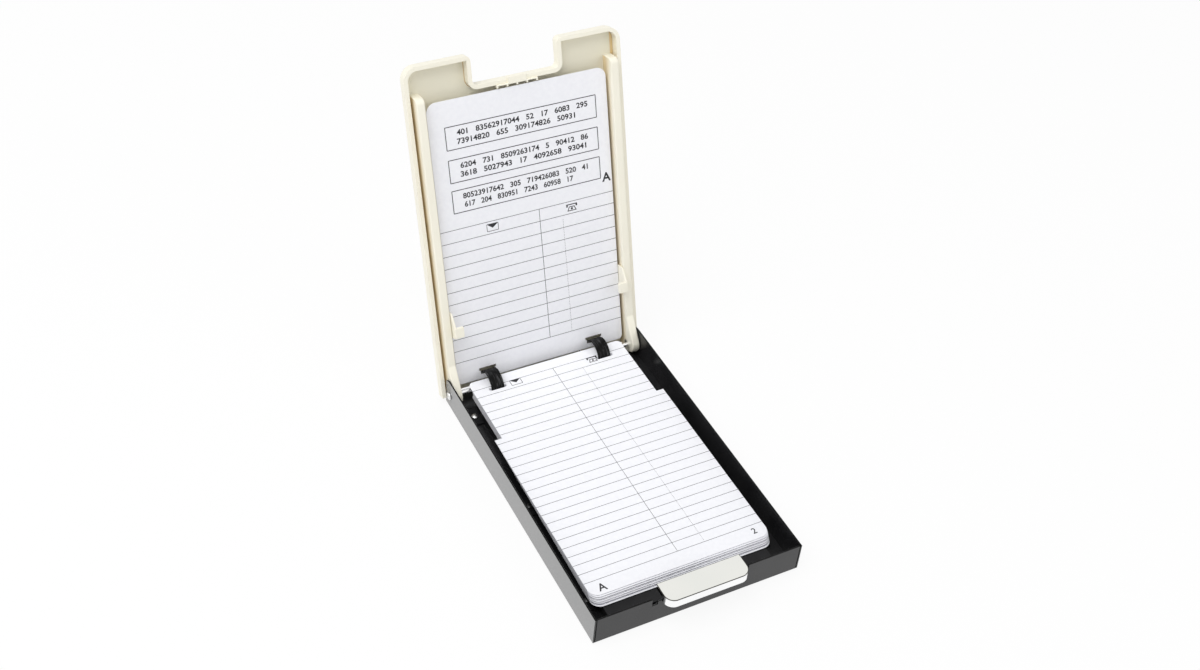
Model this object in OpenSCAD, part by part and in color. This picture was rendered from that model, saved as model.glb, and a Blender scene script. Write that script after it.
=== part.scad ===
// Flip-up address index: a sheet-steel tray of stepped index cards under a sprung plastic lid.
// A selector on the lid picks how many cards rise with it, and a press bar at the front lets it go.
// X runs across the tray, Y from the front wall to the hinge, Z up. The origin is the middle of the
// base pad's underside. The lid is drawn closed and then turned up to its open stop.

/* [Tray] */
// Outer width of the tray
tray_w = 110; // [100:1:125]
// Outer length of the tray, front wall to rear edge
tray_l = 170; // [160:1:190]
// Height of the tray walls, underside to top edge
tray_h = 16.2; // [15.8:0.1:19]
// Thickness of the tray's sheet steel
sheet = 0.8; // [0.7:0.1:1]
// Thickness of the non-slip pad under the tray
pad_t = 1; // [0.6:0.1:2]
// Distance of the pad's edge from the tray's edge
pad_inset = 4; // [2:0.5:10]
// Depth of the cut-out in the front wall under the press bar
front_cut = 2.5; // [1:0.5:3]
// Open seam between the front wall and the side walls
seam = 0.3; // [0.2:0.1:0.6]

/* [Hinge] */
// Distance of the hinge axis from the tray's rear edge
hinge_back = 5; // [4:0.5:6]
// Height of the hinge axis above the tray's underside
hinge_h = 7.6; // [7.2:0.1:8]
// Diameter of the hinge rod
rod_d = 2.4; // [2:0.1:2.6]
// Diameter of the rod's rivet head
head_d = 4.2; // [3.6:0.1:5]
// Thickness of the rod's head and of its push-on clip
head_t = 1; // [0.6:0.1:1.5]
// Angle between the closed and the open lid
open_angle = 107; // [100:1:112]
// Running clearance of the rod in the lid's arms
rod_play = 0.05; // [0.02:0.01:0.1]

/* [Lid] */
// Wall thickness of the lid's sides
lid_wall = 2.1; // [1.6:0.1:2.4]
// Thickness of the lid's panel
panel_t = 2.2; // [1.8:0.1:2.8]
// Side gap between the lid and the tray walls
lid_gap = 0.4; // [0.3:0.1:0.8]
// Gap between the closed panel and the top of the tray walls
lid_lift = 0.6; // [0.4:0.1:1]
// Gap between the closed lid's front wall and the tray's front wall
lid_over = 6.7; // [6:0.1:8]
// Height of the lid's rim above the hinge axis, lid closed
rim_h = 4.5; // [4:0.1:5.5]
// How far the panel reaches behind the hinge axis
lid_tail = 3; // [1:0.5:3.5]
// Corner radius of the lid in plan
lid_round = 7; // [4:0.5:9]
// Chamfer round the lid's outer edge
lid_chamfer = 1.4; // [0.8:0.1:1.6]
// Height of the guide rails' edge above the hinge axis, lid closed
rail_h = 0.5; // [0.2:0.1:1.5]
// Width of a guide rail
rail_w = 4.3; // [3.8:0.1:4.3]
// Gap between a guide rail and the tray wall
rail_gap = 0.3; // [0.3:0.1:0.4]
// Radius of the rounded arm ends on the hinge rod
arm_r = 5; // [4:0.1:5.4]
// Length over which a guide rail widens to its arm
flare_l = 16; // [10:0.5:24]

/* [Press bar] */
// Width of the press bar
bar_w = 44; // [36:1:48]
// Depth of the press bar, front to back
bar_l = 12.3; // [11:0.1:13]
// Height of the press bar's top above the tray's underside
bar_top = 20.9; // [20:0.1:22]
// Height of the bar's front and side skirts
bar_skirt = 5; // [4:0.1:5.4]
// Sheet thickness of the press bar and of the latch lever
bar_sheet = 0.8; // [0.6:0.1:1]
// Distance of the bar's rear edge behind the tray's front face
bar_back = 4.6; // [4:0.1:5]
// Corner radius at the bar's front
bar_round = 5; // [2:0.5:6]
// Clearance between the press bar and the lid's notch
notch_gap = 1; // [0.6:0.1:2]
// Distance of the notch's wall behind the tray's front face
notch_back = 6.2; // [6.2:0.1:6.6]
// Radius of the notch's corners
notch_round = 2.5; // [1:0.5:3]
// Diameter of the latch's pivot pin
latch_pin_d = 2; // [1.6:0.1:2.4]

/* [Cards] */
// Number of index cards lying in the tray
card_count = 20; // [12:1:20]
// Thickness of one card
card_t = 0.22; // [0.18:0.01:0.24]
// Air between two cards in the pack
card_air = 0.02; // [0.01:0.01:0.03]
// Gap between a card's edge and the tray wall
card_gap = 6; // [6:0.1:7]
// How far a card is cut back on each side between its step and the hinge
neck_cut = 4; // [3.5:0.1:4.5]
// Distance from the tray's front face to the front edge of the top card
card_back = 16; // [15:0.5:18]
// How far the lowest card reaches past the top one
card_stagger = 3; // [0:0.5:3]
// Unevenness of the cards' front edges
card_uneven = 0.6; // [0:0.1:0.6]
// How far the lid card reaches past the top card in the tray
lid_card_more = 5.5; // [3:0.5:5.5]
// Radius of the cards' front corners
card_round = 5; // [3:0.5:6]
// Distance from the hinge axis to the first card's step
first_step = 41; // [40:0.5:44]
// Distance from the last card's step to its front edge
last_step_gap = 9.2; // [8.5:0.1:11]
// How far the top card reaches behind the hinge axis
top_tail = 1.6; // [0:0.1:1.6]
// Distance of the lid card's rear edge from the hinge axis
lid_card_tail = 2; // [0.5:0.1:3]

/* [Card arches] */
// Mean radius of the arches about the hinge axis
arch_r = 7.5; // [7.2:0.1:7.7]
// Width of an arch strip
arch_w = 7; // [5:0.5:7.5]
// Thickness of an arch strip
arch_t = 0.8; // [0.6:0.1:1]
// Distance of an arch's middle from the card's edge
arch_in = 17.2; // [14:0.2:20]
// Clearance of an arch in a card's slot
arch_play = 0.5; // [0.4:0.1:0.8]

/* [Selector] */
// Distance from the hinge axis to the fingers at the first letter
finger_s = 35.5; // [32:0.5:36]
// Thickness of a finger's toe
finger_t = 1.9; // [1.4:0.1:2]
// Length of a finger's toe along the lid
finger_l = 5.5; // [4:0.5:6]
// How far a finger's heel reaches past its toe along the lid
finger_slope = 7; // [4:0.5:7.5]
// Thickness of a selector leg
leg_t = 1; // [0.8:0.1:1]
// Length of a selector leg along the lid
leg_l = 8; // [6:0.5:9]
// Clearance round a selector leg
leg_play = 0.2; // [0.15:0.05:0.25]
// Thickness of the bridge across the lid
bridge_t = 3; // [2.5:0.1:4]
// Length of the bridge along the lid
bridge_l = 14; // [12:0.5:18]
// Gap between the bridge and the lid's panel
bridge_gap = 0.2; // [0.1:0.05:0.4]
// Width of the letter strip on the lid
strip_w = 14; // [10:0.5:16]
// Distance of the letter strip's middle from the card's edge
strip_back = 12.2; // [11:0.2:14]

/* [Springs] */
// Wire diameter of the lid springs
wire_d = 0.9; // [0.6:0.1:1]
// Mean radius of the lid springs' curls
curl_r = 2.1; // [2:0.05:2.2]
// Distance from one curl to the next
curl_pitch = 1.4; // [1.35:0.05:1.6]
// Number of curls on one lid spring
curls = 5; // [3:1:7]

/* [Hidden] */
$fn = 64;
// Tray faces and the hinge axis
y_front = -tray_l / 2;
y_rear = tray_l / 2;
y_hinge = y_rear - hinge_back;
z_tray = pad_t;
z_floor = z_tray + sheet;
z_wall = z_tray + tray_h;
z_hinge = z_tray + hinge_h;
in_x = tray_w / 2 - sheet;
rod_r = rod_d / 2;
floor_below = z_hinge - z_floor;
stop_gap = 0.1;
// Lid faces, closed
z_panel = z_wall + lid_lift;
z_lid = z_panel + panel_t;
z_rim = z_hinge + rim_h;
z_rail = z_hinge + rail_h;
lid_x = tray_w / 2 + lid_gap + lid_wall;
y_lid = y_front - lid_over - lid_wall;
y_tail = y_hinge + lid_tail;
rail_x = in_x - rail_gap;
rail_in = rail_x - rail_w;
notch_x = bar_w / 2 + notch_gap;
y_notch = y_front + notch_back;
// Card pack: the lid card lies over it, and the fingers reach under its edges
card_x = in_x - card_gap;
neck_x = card_x - neck_cut;
card_front = y_hinge - y_front - card_back;
lid_card_front = card_front + lid_card_more;
arch_x = card_x - arch_in;
card_pitch = card_t + card_air;
bed_h = 5.2;
lid_card_lift = 1.4;
z_bed = z_floor + bed_h;
z_pack = z_bed + card_count * card_pitch;
z_lid_card = z_pack + lid_card_lift;
hub_clear = 2.85;
hub_gap = 0.3;
slot_side = 1.3;
slot_w = arch_w + 2 * slot_side;
slot_stem = arch_w + 2 * arch_play;
slot_bar = 1.6;
slot_more = 1.2;
// Selector along the lid
letter_pitch = (card_front - last_step_gap - first_step) / (card_count - 1);
travel = card_count * letter_pitch;
toe_gap = 0.3;
z_toe = z_bed - toe_gap - finger_t;
leg_in = card_x + leg_play;
leg_out = leg_in + leg_t;
finger_in = neck_x + toe_gap;
z_bridge = z_lid + bridge_gap;
bridge_in = finger_s - bridge_l / 2;
strip_x = card_x - strip_back;
strip_t = 0.5;
strip_more = 2;
strip_in = bridge_in - strip_more;
strip_out = bridge_in + bridge_l + travel + strip_more;
track_x = -20;
track_w = 4;
track_t = 0.6;
// Latch
latch_back = 9;
latch_h = 4;
y_latch = y_front + latch_back;
z_latch = z_tray + latch_h;
latch_play = 0.05;
lever_w = 24;
lever_t = 1.2;
lever_gap = 1;
y_lever = y_front + sheet + lever_gap;
hook_w = 10;
hook_gap = 0.15;
lip_t = 1;
lip_h = 1;
clip_t = 0.8;
barrel_t = 1.2;
barrel_r = latch_pin_d / 2 + barrel_t;
ear_t = 1.2;
ear_gap = 0.3;
bracket_front = 4;
bracket_rear = 6;
bracket_t = 0.8;
// Bed and its feet
bed_x = neck_x - toe_gap;
bed_back = 5.5;
bed_rear_gap = 9;
bed_cut_side = 4;
bed_cut_rear = 7;
bed_front = y_front + bed_back;
bed_rear = y_hinge - bed_rear_gap;
bed_cut_x = lever_w / 2 + bed_cut_side;
bed_cut_y = y_latch + bed_cut_rear;
slit_gap = 0.4;
slit_out = notch_x + lid_wall + slit_gap;
foot_out = 5.4;
foot_l = 12;
foot_front = 22;
foot_rear = 13.2;
foot_ys = [y_front + foot_front, 0, y_hinge - foot_rear];
foot_rivet_d = 3.2;
rivet_d = 2.2;
rivet_head = 0.7;
arch_foot = 14;
skin = 0.01;

function two(i) = i < 10 ? str("0", i) : str(i);
function card_name(i) = str("index_card_", two(i));
CARDS = [for (i = [1 : card_count]) card_name(i)];

// Turns what is drawn closed to the lid's open stop
module opened() {
    translate([0, y_hinge, z_hinge]) rotate([-open_angle, 0, 0]) translate([0, -y_hinge, -z_hinge]) children();
}

// A box between two corners
module block(low, high) {
    translate(low) cube(high - low);
}

// A block on both sides of the middle
module pair(low, high) {
    block(low, high);
    mirror([1, 0, 0]) block(low, high);
}

// A cylinder along X
module bar_x(x0, x1, y, z, r) {
    translate([x0, y, z]) rotate([0, 90, 0]) cylinder(r = r, h = x1 - x0);
}

// A profile drawn in Y and Z, drawn out along X
module slab_x(x0, x1) {
    translate([x0, 0, 0]) rotate([90, 0, 90]) linear_extrude(x1 - x0) children();
}

// A flat outline with round corners at the front and square ones behind
module front_rounded(x, y0, y1, r) {
    translate([-x, y0 + r]) square([2 * x, y1 - y0 - r]);
    translate([-x + r, y0]) square([2 * x - 2 * r, r + skin]);
    for (side = [-1, 1]) translate([side * (x - r), y0 + r]) circle(r);
}

// A domed rivet head standing on z
module rivet(x, y, z, d, t) {
    translate([x, y, z]) intersection() {
        cylinder(d = d, h = t);
        translate([0, 0, t - d]) sphere(d);
    }
}

module base_pad() color([0.13, 0.13, 0.13])
    block([-tray_w / 2 + pad_inset, y_front + pad_inset, 0],
          [tray_w / 2 - pad_inset, y_rear - pad_inset, pad_t]);

// Side wall outline: straight to the hinge, then round the rod
module wall_profile() {
    translate([y_front, z_tray]) square([y_hinge - y_front, tray_h]);
    intersection() {
        translate([y_hinge, z_hinge]) circle(tray_h - hinge_h);
        translate([y_hinge - tray_h, z_tray]) square([tray_h + hinge_back, tray_h]);
    }
}

module tray() color([0.06, 0.06, 0.065]) difference() {
    union() {
        block([-tray_w / 2, y_front, z_tray], [tray_w / 2, y_rear, z_floor]);
        slab_x(in_x, tray_w / 2) wall_profile();
        slab_x(-tray_w / 2, -in_x) wall_profile();
        block([-in_x + seam, y_front, z_tray], [in_x - seam, y_front + sheet, z_wall]);
    }
    block([-slit_out, y_front - 1, z_wall - front_cut], [slit_out, y_front + sheet + skin, z_wall + 1]);
    pair([notch_x - slit_gap, y_front - 1, z_rim - slit_gap], [slit_out, y_front + sheet + skin, z_wall + 1]);
    bar_x(-tray_w, tray_w, y_hinge, z_hinge, rod_r + rod_play);
}

// Raised plate that carries the card pack, folded down to feet on the tray floor
module card_bed() color([0.17, 0.17, 0.18]) difference() {
    union() {
        block([-bed_x, bed_front, z_bed - sheet], [bed_x, bed_rear, z_bed]);
        pair([bed_x - sheet, bed_front, z_floor], [bed_x, bed_rear, z_bed - skin]);
        for (y = foot_ys)
            pair([bed_x - sheet, y - foot_l / 2, z_floor],
                 [bed_x + foot_out, y + foot_l / 2, z_floor + sheet]);
    }
    block([-bed_cut_x, bed_front - 1, z_floor], [bed_cut_x, bed_cut_y, z_bed + 1]);
}

module bed_rivets() color([0.8, 0.8, 0.8])
    for (y = foot_ys, side = [-1, 1])
        rivet(side * (bed_x + foot_out / 2), y, z_floor + sheet, foot_rivet_d, rivet_head);

// Side outline of an arch: a ring about the hinge axis, open at its rear and below, with a leg and a foot
arch_low = -16;
arch_high = 166;
full_turn = 360;
arch_open = [arch_high, 210, 270, full_turn + arch_low];
leg_s = arch_r * cos(arch_low);
module arch_profile() {
    reach = 3 * arch_r;
    difference() {
        translate([y_hinge, z_hinge]) circle(arch_r + arch_t / 2);
        translate([y_hinge, z_hinge]) circle(arch_r - arch_t / 2);
        translate([y_hinge, z_hinge])
            polygon(concat([[0, 0]], [for (a = arch_open) reach * [-cos(a), sin(a)]]));
    }
    translate([y_hinge - leg_s - arch_t / 2, z_floor])
        square([arch_t, floor_below + arch_r * sin(arch_low) + arch_t / 2]);
    translate([y_hinge - leg_s - arch_foot, z_floor]) square([arch_foot, arch_t]);
}

// Arch of strip steel about the hinge axis; the cards' slots turn on it
module card_arch(x) {
    slab_x(x - arch_w / 2, x + arch_w / 2) arch_profile();
}

module card_arch_left() color([0.1, 0.1, 0.1]) card_arch(-arch_x);

module card_arch_right() color([0.1, 0.1, 0.1]) card_arch(arch_x);

module arch_rivets() color([0.7, 0.7, 0.7])
    for (x = [-arch_x, arch_x], along = [0.45, 0.85])
        rivet(x, y_hinge - arch_r - along * arch_foot, z_floor + arch_t, rivet_d, rivet_head);

module hinge_rod() color([0.85, 0.85, 0.85]) {
    bar_x(-tray_w / 2 - head_t, tray_w / 2 + head_t, y_hinge, z_hinge, rod_r);
    bar_x(-tray_w / 2 - head_t, -tray_w / 2, y_hinge, z_hinge, head_d / 2);
}

// Push-on clip at the rod's far end
clip_more = 0.3;
module rod_clip() color([0.75, 0.75, 0.75]) difference() {
    bar_x(tray_w / 2, tray_w / 2 + head_t, y_hinge, z_hinge, head_d / 2 + clip_more);
    bar_x(tray_w / 2 - 1, tray_w / 2 + head_t + 1, y_hinge, z_hinge, rod_r);
}

// Collars fixed on the rod that hold the still ends of the lid springs
spring_room = 11.5;
collar_in = arch_x - arch_w / 2 - spring_room;
collar_w = 3;
module spring_collars() color([0.65, 0.65, 0.65])
    for (side = [0, 1]) mirror([side, 0, 0]) difference() {
        bar_x(collar_in - collar_w, collar_in, y_hinge, z_hinge, curl_r + wire_d / 2);
        bar_x(collar_in - collar_w - 1, collar_in + 1, y_hinge, z_hinge, rod_r);
    }

// Wire path of a lid spring: curls round the rod, then a leg up to the panel and along it
rings = 8;
wire_gap = 0.1;
leg_h = z_panel - z_hinge - wire_d / 2 - wire_gap;
leg_back = 2.4;
leg_reach = 10;
leg_shift = 0.7;
bend_r = 1.2;
curl_x = collar_in + wire_gap + wire_d / 2;
curl_points = [for (i = [0 : curls * rings]) let (a = full_turn * i / rings)
    [curl_x + curl_pitch * i / rings, curl_r * sin(a), curl_r * cos(a)]];
leg_x = curl_x + curl_pitch * curls + leg_shift;
leg_points = [
    [leg_x - 0.3 * leg_shift, 0.45 * leg_back, curl_r],
    [leg_x, 0.8 * leg_back, curl_r + 0.2 * bend_r],
    [leg_x, leg_back, curl_r + 0.7 * bend_r],
    [leg_x, leg_back, leg_h - bend_r],
    [leg_x, leg_back - 0.3 * bend_r, leg_h - 0.3 * bend_r],
    [leg_x, leg_back - bend_r, leg_h],
    [leg_x, -leg_reach, leg_h]];
spring_points = concat(curl_points, leg_points);
gaps = [for (i = [0 : len(spring_points) - 1], j = [i + rings - 2 : 1 : len(spring_points) - 1])
    norm(spring_points[i] - spring_points[j]) - wire_d];
echo(least_spring_gap = min(gaps));

// A tube of six sides along points: each ring stands square to the path
sides = 6;
function unit(v) = v / norm(v);
function heading(p, i) = unit(p[min(i + 1, len(p) - 1)] - p[max(i - 1, 0)]);
function across(t) = unit(cross(t, abs(t[0]) < 0.9 ? [1, 0, 0] : [0, 0, 1]));
module wire(p, d) {
    n = len(p);
    ring_points = [for (i = [0 : n - 1]) let (t = heading(p, i), u = across(t), v = cross(t, u))
        for (k = [0 : sides - 1]) let (a = full_turn * k / sides) p[i] + d / 2 * (cos(a) * u + sin(a) * v)];
    skin_faces = [for (i = [0 : n - 2], k = [0 : sides - 1])
        let (a = i * sides + k, b = i * sides + (k + 1) % sides)
        each [[a, a + sides, b + sides], [a, b + sides, b]]];
    first_end = [for (k = [1 : sides - 2]) [0, k, k + 1]];
    last_end = [for (k = [1 : sides - 2]) [(n - 1) * sides, (n - 1) * sides + k + 1, (n - 1) * sides + k]];
    polyhedron(ring_points, concat(skin_faces, first_end, last_end));
}

module lid_spring() opened() translate([0, y_hinge, z_hinge]) wire(spring_points, wire_d);

module lid_spring_right() color([0.6, 0.6, 0.62]) lid_spring();

module lid_spring_left() color([0.6, 0.6, 0.62]) mirror([1, 0, 0]) lid_spring();

// Latch bracket: a plate on the floor with two ears for the pivot pin
ear_x = lever_w / 2 + ear_gap;
module latch_bracket() color([0.2, 0.2, 0.2]) difference() {
    union() {
        block([-ear_x - ear_t, y_latch - bracket_front, z_floor],
              [ear_x + ear_t, y_latch + bracket_rear, z_floor + bracket_t]);
        pair([ear_x, y_latch - bracket_front, z_floor],
             [ear_x + ear_t, y_latch + bracket_front, z_latch + barrel_r]);
    }
    bar_x(-lever_w, lever_w, y_latch, z_latch, latch_pin_d / 2);
}

module latch_rivets() color([0.7, 0.7, 0.7])
    for (side = [-1, 1])
        rivet(side * lever_w / 3, y_latch + 0.75 * bracket_rear, z_floor + bracket_t, rivet_d, rivet_head);

module latch_pin() color([0.8, 0.8, 0.8])
    bar_x(-ear_x - 1.5 * ear_t, ear_x + 1.5 * ear_t, y_latch, z_latch, latch_pin_d / 2);

// Leaf spring that holds the latch up: flat on the bracket, then bent up under the lever's web
web_under = 1;
module latch_spring() color([0.55, 0.55, 0.57]) {
    leaf_w = 5;
    leaf_t = 0.3;
    leaf_tip = 1.6;
    z_leaf = z_floor + bracket_t;
    leaf_gap = 0.2;
    z_tip = z_latch - web_under - leaf_gap;
    y_bend = y_latch - bracket_front;
    slab_x(-leaf_w / 2, leaf_w / 2) polygon([
        [y_bend + leaf_tip, z_leaf], [y_bend + leaf_tip, z_leaf + leaf_t], [y_bend, z_leaf + leaf_t],
        [y_bend - leaf_tip, z_tip], [y_bend - leaf_tip, z_tip - leaf_t], [y_bend - leaf_t / 3, z_leaf]]);
}

// Latch lever: a barrel on the pin, a web, an upright plate with the hook, and a folded top under the bar
z_lever = z_tray + bar_top - bar_sheet;
z_hook = z_rim + lip_h + hook_gap;
y_lip = y_notch - lip_t;
fold_t = 0.8;
y_fold = y_front + bar_back - fold_t / 2;
hook_tip = 0.5;
hook_h = 2.2;
module latch_lever() color([0.6, 0.6, 0.62]) difference() {
    y_face = y_lever + lever_t;
    union() {
        bar_x(-lever_w / 2, lever_w / 2, y_latch, z_latch, barrel_r);
        block([-lever_w / 2, y_lever, z_latch - web_under], [lever_w / 2, y_latch, z_latch + hook_tip]);
        block([-lever_w / 2, y_lever, z_latch - web_under], [lever_w / 2, y_face, z_lever]);
        block([-lever_w / 2, y_lever, z_lever - fold_t], [lever_w / 2, y_fold, z_lever]);
        slab_x(-hook_w / 2, hook_w / 2) polygon([
            [y_face - skin, z_hook], [y_lip - hook_gap, z_hook],
            [y_lip - hook_gap, z_hook + hook_tip], [y_face - skin, z_hook + hook_h]]);
    }
    bar_x(-lever_w, lever_w, y_latch, z_latch, latch_pin_d / 2 + latch_play);
}

// Press bar: a bright cap whose skirt runs round its front and ends behind the front corners
y_bar = y_front + bar_back - bar_l;
z_bar = z_tray + bar_top;
y_skirt = y_bar + bar_round + 1;
module press_bar() color([0.9, 0.9, 0.88]) difference() {
    translate([0, 0, z_bar - bar_skirt]) linear_extrude(bar_skirt)
        front_rounded(bar_w / 2, y_bar, y_front + bar_back, bar_round);
    translate([0, 0, z_bar - bar_skirt - 1]) linear_extrude(bar_skirt + 1 - bar_sheet)
        front_rounded(bar_w / 2 - bar_sheet, y_bar + bar_sheet, y_front + bar_back + 1, bar_round - bar_sheet);
    block([-bar_w, y_skirt, z_bar - bar_skirt - 1], [bar_w, y_front + bar_back + 1, z_bar - bar_sheet]);
}

// Rivets through the lever's folded top that hold the cap to it
bar_rivet_in = 4;
fold_room = y_fold - y_lever - lever_t;
module bar_rivets() color([0.75, 0.75, 0.75])
    for (side = [-1, 1])
        translate([side * (lever_w / 2 - bar_rivet_in), y_fold - fold_room / 2, z_lever - fold_t - hook_tip])
            cylinder(d = 0.7 * fold_room, h = hook_tip);

// Outline of the notch in plan, grown on all sides, with rounded inner corners and rounded mouth
module notch_plan(grow) {
    wide = notch_x + grow;
    y_end = y_notch + grow;
    r = notch_round;
    translate([-wide, y_lid - 1]) square([2 * wide, y_end - r - y_lid + 1]);
    translate([-wide + r, y_end - r - skin]) square([2 * (wide - r), r + skin]);
    for (side = [-1, 1]) {
        translate([side * (wide - r), y_end - r]) circle(r);
        translate([side * wide, y_lid]) difference() {
            translate([-r, -1]) square([2 * r, r + 1 - grow]);
            translate([side * r, r - grow]) circle(r);
            translate([side > 0 ? r : -2 * r, -2]) square([r, r + 3]);
        }
    }
}

// Outline of the lid in plan, with its notch
module lid_plan(inset) {
    difference() {
        front_rounded(lid_x - inset, y_lid + inset, y_tail, lid_round - inset);
        notch_plan(inset);
    }
}

// Inside of the lid in plan, leaving the side, front and notch walls
module lid_hollow() {
    difference() {
        front_rounded(lid_x - lid_wall, y_lid + lid_wall, y_tail + 1, lid_round - lid_wall);
        translate([-notch_x - lid_wall, y_lid - 1])
            square([2 * (notch_x + lid_wall), y_notch + lid_wall - y_lid + 1]);
    }
}

// Guide rail with its arm to the hinge rod; its heel stands on the tray floor when the lid is open
rail_more = 4.5;
rail_round = 3;
heel_back = 0.8;
flare_turn = 180 - atan2(rail_h, flare_l) + acos(arm_r / norm([flare_l, rail_h]));
module rail_profile() {
    rail_end = lid_card_front + rail_more;
    y_end = y_hinge - rail_end;
    tall = z_panel + skin - z_rail;
    translate([y_end + rail_round, z_rail]) square([rail_end - rail_round, tall]);
    translate([y_end, z_rail + rail_round]) square([rail_end, tall - rail_round]);
    translate([y_end + rail_round, z_rail + rail_round]) circle(rail_round);
    translate([y_hinge, z_hinge]) circle(arm_r);
    translate([y_hinge, z_hinge])
        polygon([[0, 0], [0, rail_h + skin], [-flare_l, rail_h + skin], [-flare_l, rail_h],
                 arm_r * [cos(flare_turn), sin(flare_turn)]]);
    translate([y_hinge - arm_r, z_hinge]) square([arm_r + lid_tail, z_panel + skin - z_hinge]);
    translate([y_hinge, z_hinge]) rotate(open_angle)
        translate([0, -floor_below + stop_gap]) square([hinge_back - heel_back, floor_below - stop_gap]);
}

round_step = 22.5;
round_share = 0.8;
module lid_shell() color([0.95, 0.93, 0.84]) opened() difference() {
    union() {
        difference() {
            union() {
                translate([0, 0, z_rim]) linear_extrude(z_lid - lid_chamfer - z_rim) lid_plan(0);
                for (step = [1 : 4]) translate([0, 0, z_lid - lid_chamfer - skin])
                    linear_extrude(skin + lid_chamfer * sin(step * round_step))
                        lid_plan(round_share * lid_chamfer * (1 - cos(step * round_step)));
            }
            translate([0, 0, z_rim - 1]) linear_extrude(z_panel - z_rim + 1) lid_hollow();
        }
        slab_x(rail_in, rail_x) rail_profile();
        slab_x(-rail_x, -rail_in) rail_profile();
    }
    bar_x(-tray_w, tray_w, y_hinge, z_hinge, rod_r + rod_play);
    for (side = [0, 1]) mirror([side, 0, 0])
        block([leg_in - leg_play, y_hinge - finger_s - leg_l / 2 - travel - leg_play, z_panel - 1],
              [leg_out + leg_play, y_hinge - finger_s + leg_l / 2 + leg_play, z_lid + 1]);
    block([strip_x - strip_w / 2, y_hinge - strip_out, z_lid - strip_t],
          [strip_x + strip_w / 2, y_hinge - strip_in, z_lid + 1]);
    block([track_x - track_w / 2, y_hinge - strip_out, z_lid - track_t],
          [track_x + track_w / 2, y_hinge - strip_in, z_lid + 1]);
}

// Printed strip of letters let into the lid's outer face
strip_play = 0.1;
module letter_strip() color([0.97, 0.97, 0.95]) opened()
    block([strip_x - strip_w / 2 + strip_play, y_hinge - strip_out + strip_play, z_lid - strip_t],
          [strip_x + strip_w / 2 - strip_play, y_hinge - strip_in - strip_play, z_lid]);

// Catch clipped over the rim of the notch wall, with ribs behind; the hook holds its front lip from above
catch_t = 0.6;
catch_side = 6;
catch_h = 4;
rib_t = 0.8;
rib_d = 1;
rib_count = 5;
module lid_catch() color([0.93, 0.91, 0.82]) opened() {
    y_plate = y_notch + lid_wall;
    catch_x = hook_w / 2 + catch_side;
    block([-hook_w / 2, y_lip, z_rim - clip_t], [hook_w / 2, y_notch, z_rim + lip_h]);
    block([-hook_w / 2, y_lip, z_rim - clip_t], [hook_w / 2, y_plate + catch_t, z_rim]);
    block([-catch_x, y_plate, z_rim - clip_t], [catch_x, y_plate + catch_t, z_rim + catch_h]);
    for (rib = [0 : rib_count - 1]) let (x = (catch_x - rib_t / 2) * (2 * rib / (rib_count - 1) - 1))
        block([x - rib_t / 2, y_plate, z_rim - clip_t],
              [x + rib_t / 2, y_plate + catch_t + rib_d, z_rim + catch_h]);
}

screw_t = 0.4;
catch_screw_d = 2.4;
catch_screw_x = 0.75 * (hook_w / 2 + catch_side);
module catch_screws() color([0.7, 0.7, 0.7]) opened()
    for (side = [-1, 1])
        translate([side * catch_screw_x, y_notch + lid_wall + catch_t, z_rim + catch_h / 2])
            rotate([-90, 0, 0]) cylinder(d = catch_screw_d, h = screw_t);

// Bridge of the selector across the outside of the lid, with a window over the letters
bridge_more = 0.8;
bridge_x = leg_out + bridge_more;
window_l = 6;
window_wall = 1;
pocket_h = 1;
module selector_bridge() color([0.94, 0.92, 0.83]) opened() difference() {
    block([-bridge_x, y_hinge - bridge_in - bridge_l, z_bridge],
          [bridge_x, y_hinge - bridge_in, z_bridge + bridge_t]);
    block([strip_x - strip_w / 2 + window_wall, y_hinge - finger_s - window_l / 2, z_bridge - 1],
          [strip_x + strip_w / 2 - window_wall, y_hinge - finger_s + window_l / 2, z_bridge + bridge_t + 1]);
    block([track_x - track_w / 2, y_hinge - bridge_in - bridge_l + window_wall, z_bridge - 1],
          [track_x + track_w / 2, y_hinge - bridge_in - window_wall, z_bridge + pocket_h]);
}

// Ribbed grip on the bridge
knob_w = 24;
knob_t = 1;
knob_in = 2;
grip_h = 2;
grip_foot = 1;
grip_top = 0.4;
grip_in = 3.4;
grip_count = 4;
module selector_knob() color([0.94, 0.92, 0.83]) opened() {
    z_knob = z_bridge + bridge_t;
    y_end = y_hinge - bridge_in - bridge_l;
    block([-knob_w / 2, y_end + knob_in, z_knob], [knob_w / 2, y_end + bridge_l - knob_in, z_knob + knob_t]);
    for (rib = [0 : grip_count - 1]) let (along = rib / (grip_count - 1))
        translate([0, y_end + grip_in + along * (bridge_l - 2 * grip_in), z_knob + knob_t])
            slab_x(-knob_w / 2, knob_w / 2)
                polygon([[-grip_foot, -skin], [grip_foot, -skin], [grip_top, grip_h], [-grip_top, grip_h]]);
}

// Finger: a leg through the lid's slot, and a toe that reaches under the cards' edges
module finger() opened() {
    y_heel = y_hinge - finger_s + leg_l / 2;
    y_top = y_hinge - finger_s - leg_l / 2;
    y_toe = y_hinge - finger_s + finger_l / 2;
    z_under = z_panel - toe_gap;
    slab_x(leg_in, leg_out) polygon([
        [y_heel, z_bridge], [y_top, z_bridge], [y_top, z_under],
        [y_toe - finger_l - finger_slope, z_under], [y_toe - finger_l - finger_slope, z_rail],
        [y_toe - finger_l, z_toe], [y_toe, z_toe], [y_heel, z_rail]]);
    block([finger_in, y_toe - finger_l, z_toe], [leg_in + skin, y_toe, z_toe + finger_t]);
}

module finger_right() color([0.94, 0.92, 0.83]) finger();

module finger_left() color([0.94, 0.92, 0.83]) mirror([1, 0, 0]) finger();

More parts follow.
